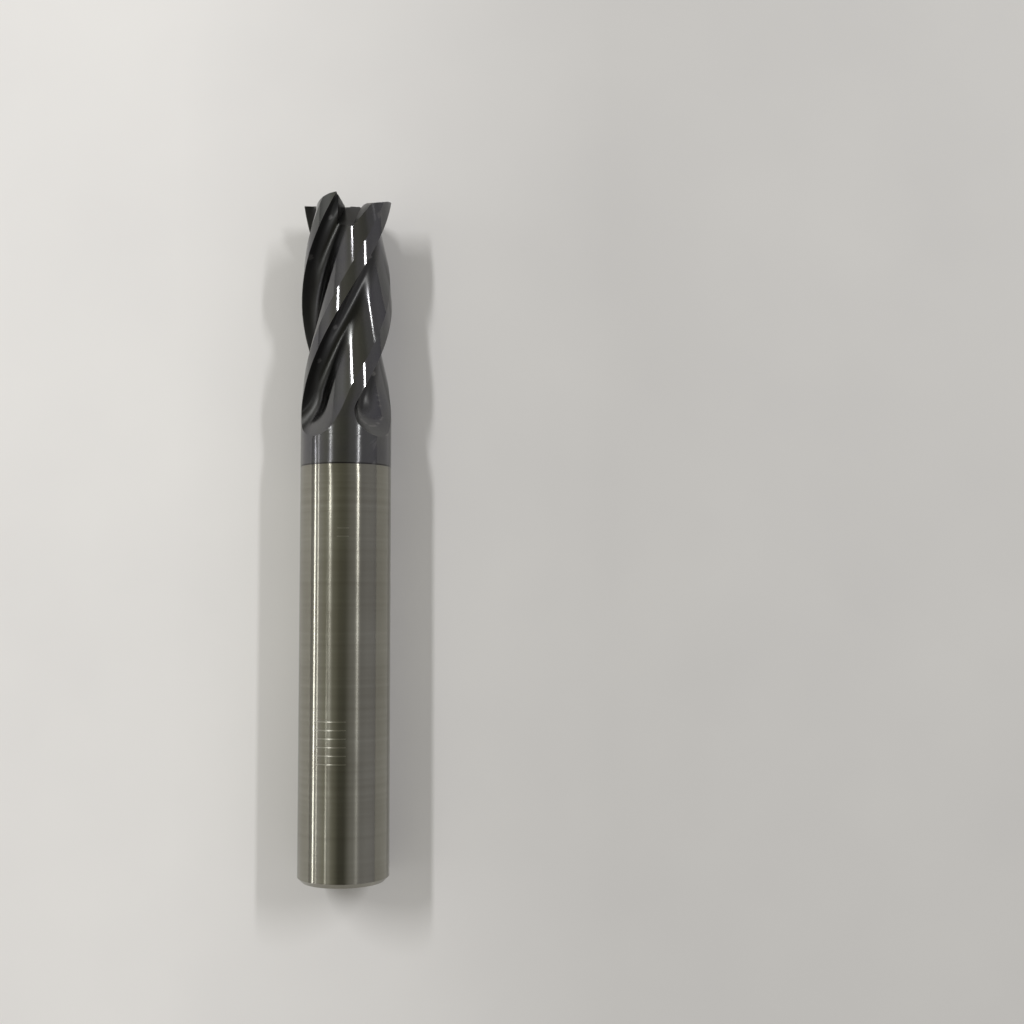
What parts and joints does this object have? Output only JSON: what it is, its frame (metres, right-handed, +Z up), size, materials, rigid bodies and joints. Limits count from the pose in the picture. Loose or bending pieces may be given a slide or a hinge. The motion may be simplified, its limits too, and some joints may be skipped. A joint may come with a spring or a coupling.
{
  "type": "square end mill",
  "caption": "Solid-carbide square end mill with right-hand helical flutes, a dark hard-coated cutting end and a plain ground cylindrical shank.",
  "frame": {"origin": "on the surface that the tool lies on, under the middle of its length", "axes": "+Y along the tool's axis, towards the tip; +Z up; +X to the right when looking from the shank end towards the tip"},
  "size_m": [0.01, 0.075, 0.01],
  "materials": {
    "ground_carbide": "bare sintered tungsten carbide, cylindrically ground: olive-grey metal with fine marks round the axis",
    "hard_coating": "vapour-deposited titanium aluminium nitride: dark violet-grey, glossy, over grinding marks"
  },
  "bodies": {
    "root": {"carbide_body": "ground_carbide", "tialn_coating": "hard_coating"}
  },
  "joints": []
}
